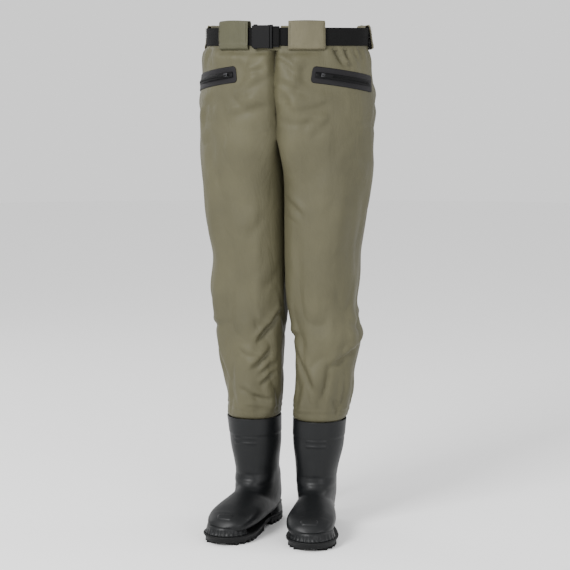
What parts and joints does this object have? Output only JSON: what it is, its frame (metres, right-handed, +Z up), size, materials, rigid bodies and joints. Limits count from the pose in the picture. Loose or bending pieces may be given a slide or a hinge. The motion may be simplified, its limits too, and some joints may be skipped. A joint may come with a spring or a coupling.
{
  "type": "waders",
  "caption": "Waist-high bootfoot waders: coated fabric trousers on rubber boots, with a webbing belt, side-release buckle and zipped pockets.",
  "frame": {"origin": "middle of the footprint on the floor, under the soles", "axes": "+Z up, -Y the wearer's front, +X the wearer's left"},
  "size_m": [0.3902, 0.3428, 1.119],
  "materials": {
    "coated_nylon": "matt, faint weave",
    "belt_webbing": "ribbed weave",
    "buckle_plastic": "fine grain",
    "welded_facing": "matt film",
    "zip_coil": "satin",
    "zip_metal": "dark gunmetal",
    "pocket_lining": "matt",
    "boot_rubber": "semi-gloss, moulded",
    "sole_rubber": "satin",
    "insole_felt": "felt"
  },
  "bodies": {
    "hips": {"hip_panel_front_left": "coated_nylon", "hip_panel_back_left": "coated_nylon", "hip_panel_back_right": "coated_nylon", "hip_panel_front_right": "coated_nylon", "waistband_front": "coated_nylon", "waistband_back": "coated_nylon", "crotch_gusset": "coated_nylon", "belt_loop_front_left": "coated_nylon", "belt_loop_front_right": "coated_nylon", "belt_loop_side_left": "coated_nylon", "belt_loop_side_right": "coated_nylon", "belt_loop_back": "coated_nylon", "belt": "belt_webbing", "buckle_socket": "buckle_plastic", "pocket_facing_left": "welded_facing", "zip_tape_left": "belt_webbing", "zip_chain_left": "zip_coil", "pocket_bag_left": "pocket_lining", "pocket_facing_right": "welded_facing", "zip_tape_right": "belt_webbing", "zip_chain_right": "zip_coil", "pocket_bag_right": "pocket_lining"},
    "buckle_plug": {"buckle_plug": "buckle_plastic", "belt_tail": "belt_webbing"},
    "buckle_prong_upper": {"buckle_prong_upper": "buckle_plastic"},
    "buckle_prong_lower": {"buckle_prong_lower": "buckle_plastic"},
    "zip_slider_left": {"zip_slider_left": "zip_metal"},
    "zip_pull_left": {"zip_pull_left": "zip_metal"},
    "thigh_left": {"hip_band_left": "coated_nylon", "thigh_panel_front_left": "coated_nylon", "thigh_panel_back_left": "coated_nylon", "knee_band_left": "coated_nylon"},
    "shin_left": {"shin_panel_front_left": "coated_nylon", "shin_panel_back_left": "coated_nylon", "cuff_sleeve_left": "pocket_lining", "boot_shaft_left": "boot_rubber", "boot_collar_left": "boot_rubber", "boot_foot_left": "boot_rubber", "toe_bumper_left": "sole_rubber", "heel_counter_left": "sole_rubber", "insole_left": "insole_felt", "outsole_left": "sole_rubber", "heel_block_left": "sole_rubber"},
    "zip_slider_right": {"zip_slider_right": "zip_metal"},
    "zip_pull_right": {"zip_pull_right": "zip_metal"},
    "thigh_right": {"hip_band_right": "coated_nylon", "thigh_panel_front_right": "coated_nylon", "thigh_panel_back_right": "coated_nylon", "knee_band_right": "coated_nylon"},
    "shin_right": {"shin_panel_front_right": "coated_nylon", "shin_panel_back_right": "coated_nylon", "cuff_sleeve_right": "pocket_lining", "boot_shaft_right": "boot_rubber", "boot_collar_right": "boot_rubber", "boot_foot_right": "boot_rubber", "toe_bumper_right": "sole_rubber", "heel_counter_right": "sole_rubber", "insole_right": "insole_felt", "outsole_right": "sole_rubber", "heel_block_right": "sole_rubber"}
  },
  "joints": [
    {"name": "hip_left", "type": "hinge", "parent": "hips", "child": "thigh_left", "pos_m": [0.097, 0.0439, 0.9], "axis": [-1, 0, 0], "range_deg": [-15, 45], "deforming": ["hip_band_left"]},
    {"name": "knee_left", "type": "hinge", "parent": "thigh_left", "child": "shin_left", "pos_m": [0.083, 0.0439, 0.48], "axis": [1, 0, 0], "range_deg": [0, 60], "deforming": ["knee_band_left"]},
    {"name": "zip_slide_left", "type": "hinge", "parent": "hips", "child": "zip_slider_left", "pos_m": [0.05283, 0.06718, 0.98934], "axis": [0.0697, 0.1421, 0.9874], "range_deg": [0, 43]},
    {"name": "pull_flip_left", "type": "hinge", "parent": "zip_slider_left", "child": "zip_pull_left", "pos_m": [0.10665, -0.07287, 1.0057], "axis": [-0.019, -0.2709, -0.9624], "range_deg": [0, 150]},
    {"name": "hip_right", "type": "hinge", "parent": "hips", "child": "thigh_right", "pos_m": [-0.097, 0.0439, 0.9], "axis": [-1, 0, 0], "range_deg": [-15, 45], "deforming": ["hip_band_right"]},
    {"name": "knee_right", "type": "hinge", "parent": "thigh_right", "child": "shin_right", "pos_m": [-0.083, 0.0439, 0.48], "axis": [1, 0, 0], "range_deg": [0, 60], "deforming": ["knee_band_right"]},
    {"name": "zip_slide_right", "type": "hinge", "parent": "hips", "child": "zip_slider_right", "pos_m": [-0.05283, 0.06718, 0.98934], "axis": [0.0697, -0.1421, -0.9874], "range_deg": [0, 43]},
    {"name": "pull_flip_right", "type": "hinge", "parent": "zip_slider_right", "child": "zip_pull_right", "pos_m": [-0.10665, -0.07287, 1.0057], "axis": [-0.019, 0.2709, 0.9624], "range_deg": [0, 150]},
    {"name": "buckle_release", "type": "slide", "parent": "hips", "child": "buckle_plug", "axis": [1, 0, 0], "range_m": [0, 0.018]},
    {"name": "prong_squeeze_upper", "type": "slide", "parent": "buckle_plug", "child": "buckle_prong_upper", "axis": [0, 0, -1], "range_m": [0, 0.0035], "stiffness_N_per_m": 1500},
    {"name": "prong_squeeze_lower", "type": "slide", "parent": "buckle_plug", "child": "buckle_prong_lower", "axis": [0, 0, 1], "range_m": [0, 0.0035], "stiffness_N_per_m": 1500}
  ]
}
